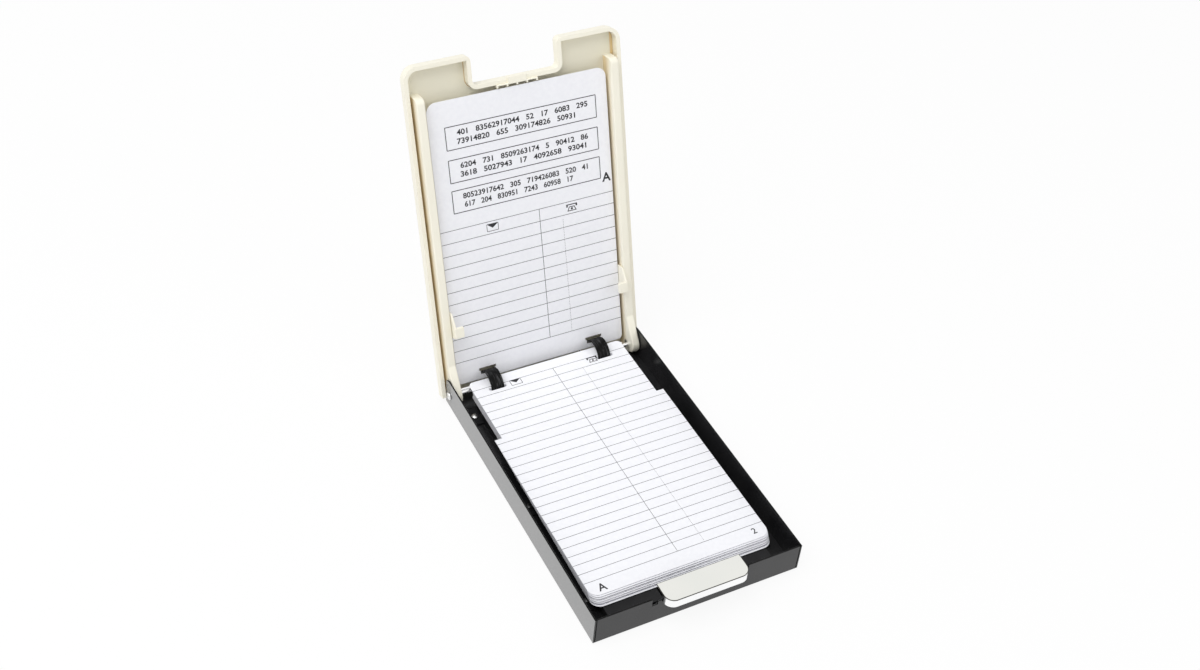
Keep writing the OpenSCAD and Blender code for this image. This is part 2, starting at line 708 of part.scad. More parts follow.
finger_screw_d = 1.8;
module finger_screws() color([0.75, 0.75, 0.75]) opened()
    for (side = [-1, 1])
        translate([side * (leg_in + leg_out) / 2, y_hinge - finger_s, z_bridge + bridge_t])
            cylinder(d = finger_screw_d, h = screw_t);

// Leaf with a bump that rides in the lid's track
detent_t = 0.3;
detent_play = 0.2;
detent_gap = 0.4;
bump_d = 2;
module detent_spring() color([0.7, 0.7, 0.72]) opened() {
    z_leaf = z_bridge + pocket_h - detent_t;
    z_bump = z_lid - track_t + detent_gap;
    leaf_x = track_w / 2 - detent_play;
    leaf_in = bridge_in + window_wall + detent_play;
    leaf_out = bridge_in + bridge_l - window_wall - detent_play;
    block([track_x - leaf_x, y_hinge - leaf_out, z_leaf],
          [track_x + leaf_x, y_hinge - leaf_in, z_leaf + detent_t]);
    translate([track_x, y_hinge - finger_s, z_bump]) cylinder(d = bump_d, h = z_leaf + skin - z_bump);
}

// Outline of a card: wide in front of its step, narrow behind it
rear_round = 2.5;
module card_outline(front, step, tail, neck) {
    y_square = y_hinge - tail - rear_round;
    front_rounded(card_x, y_hinge - front, y_hinge - step, card_round);
    translate([-neck, y_hinge - step - skin]) square([2 * neck, step - tail - rear_round + skin]);
    translate([-neck + rear_round, y_square - skin]) square([2 * (neck - rear_round), rear_round + skin]);
    for (side = [-1, 1]) translate([side * (neck - rear_round), y_square]) circle(rear_round);
}

// A card with two T-slots for the arches: h is its height above the hinge axis, more lengthens its slots
module card(z, front, step, neck, rear, more) {
    h = z - z_hinge;
    tail = abs(h) < hub_clear ? sqrt(hub_clear * hub_clear - h * h) + hub_gap : rear;
    band_in = arch_r - arch_t / 2 - arch_play;
    band_out = arch_r + arch_t / 2 + arch_play;
    h_far = max(abs(h), abs(h + card_t));
    h_near = h > 0 ? h : max(0, -h - card_t);
    slot_near = sqrt(band_in * band_in - h_far * h_far);
    slot_far = sqrt(band_out * band_out - h_near * h_near) + more;
    slot_wide = more > 0 ? slot_far : slot_near + slot_bar;
    translate([0, 0, z]) linear_extrude(card_t) difference() {
        card_outline(front, step, tail, neck);
        for (x = [-arch_x, arch_x]) {
            translate([x - slot_stem / 2, y_hinge - slot_far]) square([slot_stem, slot_far - slot_near]);
            translate([x - slot_w / 2, y_hinge - slot_wide]) square([slot_w, slot_bar]);
        }
    }
}

module lid_card() color([0.96, 0.96, 0.98]) opened()
    card(z_lid_card, lid_card_front, first_step, card_x, lid_card_tail, slot_more);

uneven_turn = 137;
function uneven(i) = i == 1 ? 0 : card_uneven * sin(uneven_turn * i);

module index_card(i) color([0.96, 0.96, 0.98])
    card(z_pack - i * card_pitch + card_air, card_front + card_stagger * (i - 1) / (card_count - 1) + uneven(i),
         first_step + letter_pitch * (i - 1), neck_x, -top_tail, 0);

base_pad();
tray();
card_bed();
bed_rivets();
card_arch_left();
card_arch_right();
arch_rivets();
hinge_rod();
rod_clip();
spring_collars();
latch_bracket();
latch_rivets();
latch_pin();
latch_spring();
press_bar();
latch_lever();
bar_rivets();
lid_shell();
letter_strip();
lid_catch();
catch_screws();
lid_spring_left();
lid_spring_right();
selector_bridge();
selector_knob();
finger_left();
finger_right();
finger_screws();
detent_spring();
lid_card();
for (i = [1 : card_count]) index_card(i);
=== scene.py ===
import math

import bpy
from mathutils import Matrix, Vector


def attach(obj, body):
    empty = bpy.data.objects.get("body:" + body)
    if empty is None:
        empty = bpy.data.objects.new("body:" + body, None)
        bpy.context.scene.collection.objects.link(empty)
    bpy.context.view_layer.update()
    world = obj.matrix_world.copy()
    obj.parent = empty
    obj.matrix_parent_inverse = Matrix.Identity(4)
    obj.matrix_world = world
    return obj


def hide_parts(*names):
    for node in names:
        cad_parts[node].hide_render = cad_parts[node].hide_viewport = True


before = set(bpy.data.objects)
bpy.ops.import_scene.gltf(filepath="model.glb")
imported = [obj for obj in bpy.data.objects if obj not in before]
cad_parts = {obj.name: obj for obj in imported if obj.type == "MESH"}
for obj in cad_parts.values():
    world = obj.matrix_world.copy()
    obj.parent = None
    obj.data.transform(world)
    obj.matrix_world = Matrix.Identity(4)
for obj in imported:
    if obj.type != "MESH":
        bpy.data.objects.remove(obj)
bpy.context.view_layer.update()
scene = bpy.context.scene
scene.view_settings.view_transform = "Standard"


# Table top, daylight and camera: a white sweep under a large soft light from the upper left,
# seen from in front of the tray's left corner, high enough to look into the open lid.
def new_material(name):
    """A node material with one shader wired to its output; returns material, nodes, links, shader."""
    material = bpy.data.materials.new(name)
    material.use_nodes = True
    nodes = material.node_tree.nodes
    links = material.node_tree.links
    nodes.clear()
    output = nodes.new("ShaderNodeOutputMaterial")
    shader = nodes.new("ShaderNodeBsdfPrincipled")
    links.new(shader.outputs["BSDF"], output.inputs["Surface"])
    return material, nodes, links, shader


def seen_by_eye(nodes, links):
    """A factor of 1 for what the camera sees directly, in a reflection or through glass."""
    path = nodes.new("ShaderNodeLightPath")
    glossy = nodes.new("ShaderNodeMath")
    glossy.operation = "MAXIMUM"
    links.new(path.outputs["Is Camera Ray"], glossy.inputs[0])
    links.new(path.outputs["Is Glossy Ray"], glossy.inputs[1])
    seen = nodes.new("ShaderNodeMath")
    seen.operation = "MAXIMUM"
    links.new(glossy.outputs[0], seen.inputs[0])
    links.new(path.outputs["Is Transmission Ray"], seen.inputs[1])
    return seen.outputs[0]


floor_size = 6.0
floor_share = 0.9
bpy.ops.object.select_all(action="DESELECT")
bpy.ops.mesh.primitive_plane_add(size=floor_size, location=(0, 0, 0))
floor = bpy.context.object
floor.name = "table_top"
floor_paint, nodes, links, shader = new_material("table_white")
shader.inputs["Base Color"].default_value = (0.9, 0.9, 0.9, 1)
shader.inputs["Roughness"].default_value = 0.9
glow = nodes.new("ShaderNodeEmission")
glow.inputs["Color"].default_value = (1, 1, 1, 1)
glow.inputs["Strength"].default_value = 1.0
share = nodes.new("ShaderNodeMath")
share.operation = "MULTIPLY"
share.inputs[1].default_value = floor_share
links.new(seen_by_eye(nodes, links), share.inputs[0])
mix = nodes.new("ShaderNodeMixShader")
links.new(share.outputs[0], mix.inputs["Fac"])
links.new(shader.outputs["BSDF"], mix.inputs[1])
links.new(glow.outputs["Emission"], mix.inputs[2])
links.new(mix.outputs["Shader"], nodes["Material Output"].inputs["Surface"])
floor.data.materials.append(floor_paint)

world = bpy.data.worlds.new("studio")
scene.world = world
world.use_nodes = True
nodes = world.node_tree.nodes
links = world.node_tree.links
nodes.clear()
output = nodes.new("ShaderNodeOutputWorld")
sky = nodes.new("ShaderNodeBackground")
sky.inputs["Color"].default_value = (1, 1, 1, 1)
sky_light, sky_seen = 0.55, 1.0
strength = nodes.new("ShaderNodeMapRange")
strength.inputs["To Min"].default_value = sky_light
strength.inputs["To Max"].default_value = sky_seen
links.new(seen_by_eye(nodes, links), strength.inputs["Value"])
links.new(strength.outputs["Result"], sky.inputs["Strength"])
links.new(sky.outputs["Background"], output.inputs["Surface"])


def soft_light(name, place, target, size, power):
    """A square soft box that faces a point."""
    data = bpy.data.lights.new(name, "AREA")
    data.shape = "SQUARE"
    data.size = size
    data.energy = power
    lamp = bpy.data.objects.new(name, data)
    scene.collection.objects.link(lamp)
    lamp.location = place
    lamp.rotation_euler = (Vector(target) - Vector(place)).to_track_quat("-Z", "Y").to_euler()


soft_light("key_box", (-0.75, -0.1, 1.5), (0, 0, 0.05), 1.2, 16.5)
soft_light("fill_box", (1.0, -1.1, 0.9), (0, 0, 0.05), 1.0, 4.0)

lens_pixels = 1580.95
picture_width = 1200
camera_data = bpy.data.cameras.new("photo_camera")
camera_data.sensor_width = 36.0
camera_data.lens = camera_data.sensor_width * lens_pixels / picture_width
camera = bpy.data.objects.new("photo_camera", camera_data)
scene.collection.objects.link(camera)
eye = Vector((-0.28852, -0.45717, 0.58301))
right = Vector((0.88865365, -0.45277303, 0.07274111))
down = Vector((-0.25615383, -0.62167071, -0.74020993))
ahead = Vector((0.38036811, 0.63915734, -0.66842950))
camera.matrix_world = Matrix((
    (right.x, -down.x, -ahead.x, eye.x),
    (right.y, -down.y, -ahead.y, eye.y),
    (right.z, -down.z, -ahead.z, eye.z),
    (0, 0, 0, 1)))
scene.camera = camera


# Base pad: a black sponge-rubber sheet glued under the tray so that it doesn't slide.
# It is cut from foam, so its skin is finely pitted.
def object_noise(nodes, links, scale, detail=3.0):
    """Noise on Object coordinates; returns its factor."""
    place = nodes.new("ShaderNodeTexCoord")
    noise = nodes.new("ShaderNodeTexNoise")
    noise.inputs["Scale"].default_value = scale
    noise.inputs["Detail"].default_value = detail
    links.new(place.outputs["Object"], noise.inputs["Vector"])
    return noise.outputs["Fac"]


def tint(nodes, links, factor, shader, dark, light, low=0.35, high=0.65):
    """Varies the base colour between two tints by a factor."""
    ramp = nodes.new("ShaderNodeValToRGB")
    ramp.color_ramp.elements[0].position = low
    ramp.color_ramp.elements[0].color = (*dark, 1)
    ramp.color_ramp.elements[1].position = high
    ramp.color_ramp.elements[1].color = (*light, 1)
    links.new(factor, ramp.inputs["Fac"])
    links.new(ramp.outputs["Color"], shader.inputs["Base Color"])


def roughen(nodes, links, factor, shader, low, high):
    """Varies the roughness between two values by a factor."""
    spread = nodes.new("ShaderNodeMapRange")
    spread.inputs["To Min"].default_value = low
    spread.inputs["To Max"].default_value = high
    links.new(factor, spread.inputs["Value"])
    links.new(spread.outputs["Result"], shader.inputs["Roughness"])


def bump(nodes, links, factor, shader, strength, distance):
    """Raises the surface by a factor, in metres."""
    relief = nodes.new("ShaderNodeBump")
    relief.inputs["Strength"].default_value = strength
    relief.inputs["Distance"].default_value = distance
    links.new(factor, relief.inputs["Height"])
    links.new(relief.outputs["Normal"], shader.inputs["Normal"])


def dress(node, material):
    """Gives a CAD node its finish."""
    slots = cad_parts[node].data.materials
    slots.clear()
    slots.append(material)


pad_rubber, nodes, links, shader = new_material("pad_rubber")
pits = object_noise(nodes, links, 900.0)
tint(nodes, links, pits, shader, (0.018, 0.018, 0.018), (0.035, 0.035, 0.035))
roughen(nodes, links, pits, shader, 0.75, 0.95)
bump(nodes, links, pits, shader, 0.6, 0.0003)
dress("base_pad", pad_rubber)


# Tray: folded from one black-lacquered steel sheet, with open seams at the front corners.
# The folds are rounded and smooth; they and the walls' top edges are painted darker and duller than the
# lacquer, a painted dark line for the shade along the edges. The lacquer has a faint orange peel.
# The outer sides have their own lacquer with a raised reflection and a full sheen, a painted reflection
# that lightens them.
weld_gap = 1e-6
flat_angle, corner_angle, smooth_angle = math.radians(0.5), math.radians(30), math.radians(40)


def even_shading(piece, angle):
    """Shades roundings smooth and keeps the flat faces beside them flat."""
    bpy.ops.object.select_all(action="DESELECT")
    bpy.context.view_layer.objects.active = piece
    piece.select_set(True)
    bpy.ops.object.shade_smooth_by_angle(angle=angle)
    weights = piece.modifiers.new("weights", "WEIGHTED_NORMAL")
    weights.weight = 100
    weights.keep_sharp = True
    bpy.ops.object.modifier_apply(modifier=weights.name)


def softened(node, name, width, materials, segments=3, edge_slot=-1):
    """A merged copy of a CAD node with rounded corners; the roundings can have a finish of their own."""
    bpy.ops.object.select_all(action="DESELECT")
    piece = bpy.data.objects.new(name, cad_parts[node].data.copy())
    scene.collection.objects.link(piece)
    piece.data.materials.clear()
    for material in materials:
        piece.data.materials.append(material)
    bpy.context.view_layer.objects.active = piece
    piece.select_set(True)
    bpy.ops.object.mode_set(mode="EDIT")
    bpy.ops.mesh.select_all(action="SELECT")
    bpy.ops.mesh.remove_doubles(threshold=weld_gap)
    bpy.ops.mesh.dissolve_limited(angle_limit=flat_angle)
    bpy.ops.object.mode_set(mode="OBJECT")
    rounding = piece.modifiers.new("rounding", "BEVEL")
    rounding.width = width
    rounding.segments = segments
    rounding.limit_method = "ANGLE"
    rounding.angle_limit = corner_angle
    rounding.use_clamp_overlap = True
    rounding.material = edge_slot
    bpy.ops.object.modifier_apply(modifier=rounding.name)
    even_shading(piece, smooth_angle)
    return piece


def pick(piece, kind, test):
    """Selects, in edit mode, the vertices, edges or faces of which every corner passes a test."""
    bpy.ops.object.mode_set(mode="OBJECT")
    mesh = piece.data
    for part in (mesh.vertices, mesh.edges, mesh.polygons):
        part.foreach_set("select", [False] * len(part))
    if kind == "VERT":
        for corner in mesh.vertices:
            corner.select = test(corner.co)
    else:
        for part in mesh.edges if kind == "EDGE" else mesh.polygons:
            part.select = all(test(mesh.vertices[v].co) for v in part.vertices)
    bpy.context.tool_settings.mesh_select_mode = (kind == "VERT", kind == "EDGE", kind == "FACE")
    bpy.ops.object.mode_set(mode="EDIT")


def give_finish(piece, slot):
    """Gives the picked faces one of the piece's finishes."""
    piece.active_material_index = slot
    bpy.ops.object.material_slot_assign()


def stand_in(piece, node, body):
    """Puts a finished piece in a CAD node's place."""
    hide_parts(node)
    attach(piece, body)


def lacquer(name):
    """Black lacquer, a little cloudy; returns what new_material returns."""
    material, nodes, links, shader = new_material(name)
    cloud = object_noise(nodes, links, 60.0)
    tint(nodes, links, cloud, shader, (0.010, 0.010, 0.011), (0.016, 0.016, 0.017))
    roughen(nodes, links, cloud, shader, 0.22, 0.27)
    return material, nodes, links, shader


tray_lacquer, nodes, links, shader = lacquer("tray_lacquer")
bump(nodes, links, object_noise(nodes, links, 500.0, detail=0.0), shader, 0.02, 0.0001)
# Outer sides: painted reflection, from a higher IOR and a full sheen.
tray_side_painted_reflection, nodes, links, shader = lacquer("tray_side_painted_reflection")
shader.inputs["IOR"].default_value = 3.0
shader.inputs["Sheen Weight"].default_value = 1.0
shader.inputs["Sheen Roughness"].default_value = 0.3
# Folds and wall tops: a darker, less reflective lacquer, painted shade along the edges.
tray_fold_painted_shade, nodes, links, shader = new_material("tray_fold_painted_shade")
cloud = object_noise(nodes, links, 200.0)
tint(nodes, links, cloud, shader, (0.003, 0.003, 0.003), (0.010, 0.010, 0.010))
roughen(nodes, links, cloud, shader, 0.12, 0.22)
shader.inputs["Specular IOR Level"].default_value = 0.12
fold_round, top_band, side_limit = 0.0004, 0.0003, 0.05495
fold_slot, side_slot = 1, 2
tray = softened("tray", "tray_folded", fold_round, (tray_lacquer, tray_fold_painted_shade, tray_side_painted_reflection),
                edge_slot=fold_slot)
wall_top = max(corner.co.z for corner in tray.data.vertices)
pick(tray, "FACE", lambda p: p.z > wall_top - top_band)
give_finish(tray, fold_slot)
pick(tray, "FACE", lambda p: abs(p.x) > side_limit)
give_finish(tray, side_slot)
bpy.ops.object.mode_set(mode="OBJECT")
stand_in(tray, "tray", "base")


# Card bed and latch bracket: two sheet-steel pressings riveted to the tray floor.
# They were sprayed a darker satin black before they went in, with a finer grain than the tray's lacquer.
inner_paint, nodes, links, shader = new_material("inner_paint")
cloud = object_noise(nodes, links, 90.0)
tint(nodes, links, cloud, shader, (0.008, 0.008, 0.009), (0.014, 0.014, 0.015))
roughen(nodes, links, cloud, shader, 0.38, 0.5)
shader.inputs["Specular IOR Level"].default_value = 0.2
bump(nodes, links, object_noise(nodes, links, 900.0), shader, 0.1, 0.0001)
dress("card_bed", inner_paint)
dress("latch_bracket", inner_paint)


# Bright small metalwork: rivets, hinge rod, clip, collars, pins, springs and screws.
# Zinc-plated steel with fine drawing marks.
def metal(name, scale, dark, light, smooth, dull, detail=3.0):
    """Bare metal with a slightly uneven colour and polish."""
    material, nodes, links, shader = new_material(name)
    shader.inputs["Metallic"].default_value = 1.0
    cloud = object_noise(nodes, links, scale, detail)
    tint(nodes, links, cloud, shader, dark, light)
    roughen(nodes, links, cloud, shader, smooth, dull)
    return material


bright_steel = metal("bright_steel", 1500.0, (0.74, 0.74, 0.74), (0.86, 0.86, 0.85), 0.18, 0.34, detail=2.0)
for node in ("arch_rivets", "rod_clip", "spring_collars", "latch_rivets", "latch_pin",
             "latch_spring", "bar_rivets", "catch_screws", "lid_spring_left",
             "lid_spring_right", "finger_screws", "detent_spring"):
    dress(node, bright_steel)
rod_round = 0.0004
rod = softened("hinge_rod", "hinge_rod_turned", rod_round, (bright_steel,))
stand_in(rod, "hinge_rod", "base")


# Rivets beside the cards: steel, set before the tray was lacquered, so their heads are black too.
# Only those near the hinge have been rubbed bright.
rubbed_from = 0.05
rivet_head, nodes, links, shader = new_material("rivet_head")
place = nodes.new("ShaderNodeTexCoord")
split = nodes.new("ShaderNodeSeparateXYZ")
links.new(place.outputs["Object"], split.inputs["Vector"])
rubbed = nodes.new("ShaderNodeMath")
rubbed.operation = "GREATER_THAN"
rubbed.inputs[1].default_value = rubbed_from
links.new(split.outputs["Y"], rubbed.inputs[0])
tint(nodes, links, rubbed.outputs[0], shader, (0.01, 0.01, 0.01), (0.74, 0.74, 0.73))
links.new(rubbed.outputs[0], shader.inputs["Metallic"])
roughen(nodes, links, object_noise(nodes, links, 1500.0), shader, 0.25, 0.4)
dress("bed_rivets", rivet_head)


# Latch lever: a bent plate of blued steel under the press bar, which is riveted to it.
# It swings on the latch pin, and shows dark between the bar's end and the front wall.
blued_steel = metal("blued_steel", 300.0, (0.03, 0.03, 0.04), (0.09, 0.09, 0.11), 0.25, 0.4)
dress("latch_lever", blued_steel)


# Card arches: two black strips of spring steel, bent round the hinge and riveted to the floor.
# Grey streaks that run along them are painted sheen in their colour; their roughness and relief vary with
# the streaks.
strap_round, strap_stretch = 0.0002, 0.12
strap_black, nodes, links, shader = new_material("strap_black")
place = nodes.new("ShaderNodeTexCoord")
stretch = nodes.new("ShaderNodeMapping")
stretch.inputs["Scale"].default_value = (1.0, strap_stretch, strap_stretch)
links.new(place.outputs["Object"], stretch.inputs["Vector"])
# The streaks: painted sheen, grey in the colour.
painted_sheen_streaks = nodes.new("ShaderNodeTexNoise")
painted_sheen_streaks.inputs["Scale"].default_value = 1600.0
painted_sheen_streaks.inputs["Detail"].default_value = 3.0
links.new(stretch.outputs["Vector"], painted_sheen_streaks.inputs["Vector"])
tint(nodes, links, painted_sheen_streaks.outputs["Fac"], shader, (0.002, 0.002, 0.002), (0.11, 0.11, 0.115), 0.52, 0.82)
roughen(nodes, links, painted_sheen_streaks.outputs["Fac"], shader, 0.3, 0.55)
shader.inputs["Specular IOR Level"].default_value = 0.1
bump(nodes, links, painted_sheen_streaks.outputs["Fac"], shader, 0.2, 0.0001)
for side in ("left", "right"):
    strap = softened("card_arch_" + side, "card_arch_" + side + "_bent", strap_round, (strap_black,), 2)
    stand_in(strap, "card_arch_" + side, "base")


# Press bar: polished and plated sheet, bent down at the front and the sides.
# The top is flat and bright; the narrow bends are painted dark, a painted reflection of the dark tray, and
# the lip is painted near white, a painted reflection of the white table.
bar_chrome = metal("bar_chrome", 60.0, (0.81, 0.815, 0.775), (0.83, 0.83, 0.79), 0.12, 0.16)
# Lip and bends: painted reflections, near white and dark.
bar_lip_painted_reflection = metal("bar_lip_painted_reflection", 60.0, (0.96, 0.965, 0.97), (0.985, 0.99, 0.99), 0.10, 0.14)
bar_bend_painted_reflection = metal("bar_bend_painted_reflection", 200.0, (0.02, 0.018, 0.015), (0.09, 0.085, 0.075), 0.2, 0.3)
bend_width, lip_share = 0.00032, 0.9
bend_slot, lip_slot = 1, 2
bar = softened("press_bar", "press_bar_polished", bend_width, (bar_chrome, bar_bend_painted_reflection, bar_lip_painted_reflection), 4, bend_slot)
bar_top = max(corner.co.z for corner in bar.data.vertices)
pick(bar, "FACE", lambda p: p.z < bar_top - lip_share * bend_width)
give_finish(bar, lip_slot)
bpy.ops.object.mode_set(mode="OBJECT")
stand_in(bar, "press_bar", "latch")


# Lid: one cream moulding with rim, guide rails, hinge arms and a notch for the press bar.
# It is modelled closed, as it leaves the mould, and then turned up about the hinge rod.
# The plastic has a fine satin grain and a duller inner panel. The inner panel's cream is darker, painted
# shade for its recess; the channels beside the rails, the creases and the deep rail sides are painted
# amber, painted shade.
MM = 0.001
slack = MM / 100
hinge_y, hinge_z = 0.080, 0.0086
open_angle = math.radians(107)
lid_half, lid_front, lid_tail, tail_spare = 0.05749, -0.0938, 0.083, 0.012
rim_z, panel_z, lid_z = 0.0131, 0.0178, 0.0200
lid_wall, crease_width, crease_foot = 0.0021, 0.00035, 0.0009
channel_x, shade_from, shade_to = 0.0538, 0.0102, 0.0155
plan_round, notch_round = 0.007, 0.0025
notch_half, notch_y = 0.023, -0.0788
back_round, rim_round = 0.0022, 0.0006
turn_open = (Matrix.Translation((0, hinge_y, hinge_z)) @ Matrix.Rotation(-open_angle, 4, "X")
             @ Matrix.Translation((0, -hinge_y, -hinge_z)))

cream, cream_pale, cream_in_shade = (0.90, 0.865, 0.74), (0.925, 0.895, 0.77), (0.80, 0.765, 0.625)
amber_shade, amber_shade_deep = (0.80, 0.65, 0.40), (0.76, 0.57, 0.29)


def beyond(nodes, links, limit):
    """A factor of 1 further from the middle than a limit, and 0 within it."""
    place = nodes.new("ShaderNodeTexCoord")
    split = nodes.new("ShaderNodeSeparateXYZ")
    links.new(place.outputs["Object"], split.inputs["Vector"])
    size = nodes.new("ShaderNodeMath")
    size.operation = "ABSOLUTE"
    links.new(split.outputs["X"], size.inputs[0])
    past = nodes.new("ShaderNodeMath")
    past.operation = "GREATER_THAN"
    past.inputs[1].default_value = limit
    links.new(size.outputs[0], past.inputs[0])
    return past.outputs[0]


lid_cream, nodes, links, shader = new_material("lid_cream")
cloud = object_noise(nodes, links, 25.0)
tint(nodes, links, cloud, shader, cream, cream_pale)
roughen(nodes, links, cloud, shader, 0.34, 0.42)
bump(nodes, links, object_noise(nodes, links, 1800.0, detail=2.0), shader, 0.06, 0.0001)
# Inner panel: darker cream, painted shade for its recess; amber beyond the rails, painted shade in the
# channels beside them.
lid_panel_shaded, nodes, links, shader = new_material("lid_panel_shaded")
cloud = object_noise(nodes, links, 25.0)
tint(nodes, links, beyond(nodes, links, channel_x), shader, cream_in_shade, amber_shade_deep)
roughen(nodes, links, cloud, shader, 0.45, 0.55)
bump(nodes, links, object_noise(nodes, links, 1500.0, detail=2.0), shader, 0.1, 0.0001)
lid_shade, nodes, links, shader = new_material("lid_shade")
lid_up = turn_open.to_3x3() @ Vector((0, 0, 1))
lid_base = lid_up.dot(Vector((0, hinge_y, hinge_z)))
place = nodes.new("ShaderNodeTexCoord")
height = nodes.new("ShaderNodeVectorMath")
height.operation = "DOT_PRODUCT"
height.inputs[1].default_value = lid_up
links.new(place.outputs["Object"], height.inputs[0])
depth = nodes.new("ShaderNodeMapRange")
depth.inputs["From Min"].default_value = lid_base + shade_from - hinge_z
depth.inputs["From Max"].default_value = lid_base + shade_to - hinge_z
links.new(height.outputs["Value"], depth.inputs["Value"])
tint(nodes, links, depth.outputs["Result"], shader, cream, amber_shade, 0.0, 1.0)
roughen(nodes, links, object_noise(nodes, links, 60.0), shader, 0.45, 0.55)
# Creases at the foot of the rim: brown, painted shade.
lid_crease_shade, nodes, links, shader = new_material("lid_crease_shade")
crease_shade_mottle = object_noise(nodes, links, 150.0)
tint(nodes, links, crease_shade_mottle, shader, (0.54, 0.38, 0.18), (0.68, 0.52, 0.30))
shader.inputs["Roughness"].default_value = 0.8


def flat_piece(low, high, height):
    """A rectangle at a height, added as a plane."""
    bpy.ops.object.select_all(action="DESELECT")
    middle = ((low[0] + high[0]) / 2, (low[1] + high[1]) / 2, height)
    bpy.ops.mesh.primitive_plane_add(size=1, location=middle)
    piece = bpy.context.object
    piece.scale = (high[0] - low[0], high[1] - low[1], 1)
    bpy.ops.object.transform_apply(location=True, rotation=True, scale=True)
    return piece


def box_piece(low, high):
    """A box between two corners, added as a cube."""
    bpy.ops.object.select_all(action="DESELECT")
    bpy.ops.mesh.primitive_cube_add(size=1, location=[(p + q) / 2 for p, q in zip(low, high)])
    piece = bpy.context.object
    piece.scale = [q - p for p, q in zip(low, high)]
    bpy.ops.object.transform_apply(location=True, rotation=True, scale=True)
    return piece


def carve(piece, low, high):
    """Cuts a box out of a piece."""
    cutter = box_piece(low, high)
    cut = piece.modifiers.new("cut", "BOOLEAN")
    cut.operation = "DIFFERENCE"
    cut.object = cutter
    cut.solver = "EXACT"
    bpy.ops.object.select_all(action="DESELECT")
    bpy.context.view_layer.objects.active = piece
    bpy.ops.object.modifier_apply(modifier=cut.name)
    bpy.data.objects.remove(cutter, do_unlink=True)


def near(value, target):
    """True where two lengths agree to a hundredth of a millimetre."""
    return abs(value - target) < slack


def round_edges(piece, test, radius, steps):
    """Rounds, in edit mode, the edges of which both ends pass a test."""
    pick(piece, "EDGE", test)
    bpy.ops.mesh.bevel(offset=radius, segments=steps, affect="EDGES", clamp_overlap=True)


panel_slot, crease_slot, shade_slot = 1, 2, 1
plan_angle, lid_smooth_angle = math.radians(1), math.radians(35)
lid = flat_piece((-lid_half, lid_front), (lid_half, lid_tail + tail_spare), lid_z)
lid.name = "lid_moulded"
for material in (lid_cream, lid_panel_shaded, lid_crease_shade):
    lid.data.materials.append(material)
bpy.ops.object.mode_set(mode="EDIT")
notch_sides = (((-notch_half, 0, 0), (1, 0, 0)),
               ((notch_half, 0, 0), (1, 0, 0)),
               ((0, notch_y, 0), (0, 1, 0)))
for point, normal in notch_sides:
    bpy.ops.mesh.select_all(action="SELECT")
    bpy.ops.mesh.bisect(plane_co=point, plane_no=normal)
pick(lid, "FACE", lambda p: abs(p.x) < notch_half + slack and p.y < notch_y + slack)
bpy.ops.mesh.delete(type="FACE")
bpy.ops.mesh.select_all(action="SELECT")
bpy.ops.mesh.dissolve_limited(angle_limit=plan_angle)
pick(lid, "VERT", lambda p: near(abs(p.x), lid_half) and near(p.y, lid_front))
bpy.ops.mesh.bevel(offset=plan_round, segments=9, affect="VERTICES")
pick(lid, "VERT", lambda p: near(abs(p.x), notch_half) and (near(p.y, lid_front) or near(p.y, notch_y)))
bpy.ops.mesh.bevel(offset=notch_round, segments=7, affect="VERTICES")
bpy.context.tool_settings.mesh_select_mode = (False, False, True)
bpy.ops.mesh.select_all(action="SELECT")
bpy.ops.mesh.extrude_region_move(TRANSFORM_OT_translate={"value": (0, 0, rim_z - lid_z)})
bpy.ops.mesh.inset(thickness=lid_wall, use_even_offset=True)
bpy.ops.mesh.extrude_region_move(TRANSFORM_OT_translate={"value": (0, 0, panel_z - crease_foot - rim_z)})
give_finish(lid, crease_slot)
bpy.ops.mesh.extrude_region_move(TRANSFORM_OT_translate={"value": (0, 0, crease_foot)})
bpy.ops.mesh.inset(thickness=crease_width, use_even_offset=True)
give_finish(lid, panel_slot)
bpy.ops.mesh.select_all(action="SELECT")
bpy.ops.mesh.normals_make_consistent(inside=False)
round_edges(lid, lambda p: near(p.z, lid_z), back_round, 5)
round_edges(lid, lambda p: near(p.z, rim_z), rim_round, 3)
bpy.ops.mesh.select_all(action="SELECT")
bpy.ops.mesh.bisect(plane_co=(0, lid_tail, 0), plane_no=(0, 1, 0), use_fill=True, clear_outer=True)
bpy.ops.object.mode_set(mode="OBJECT")

leg_near, leg_far = 0.0482, 0.0496
slot_near, slot_far = 0.0313, 0.1437
strip_low, strip_high = 0.0290, 0.0430
track_half, track_x = 0.002, -0.020
groove_near, groove_far = 0.0265, 0.1485
strip_depth, track_depth = 0.0005, 0.0006
for side in (-1, 1):
    x0, x1 = sorted((side * leg_near, side * leg_far))
    carve(lid, (x0, hinge_y - slot_far, panel_z - MM), (x1, hinge_y - slot_near, lid_z + MM))
carve(lid, (strip_low, hinge_y - groove_far, lid_z - strip_depth),
      (strip_high, hinge_y - groove_near, lid_z + MM))
carve(lid, (track_x - track_half, hinge_y - groove_far, lid_z - track_depth),
      (track_x + track_half, hinge_y - groove_near, lid_z + MM))

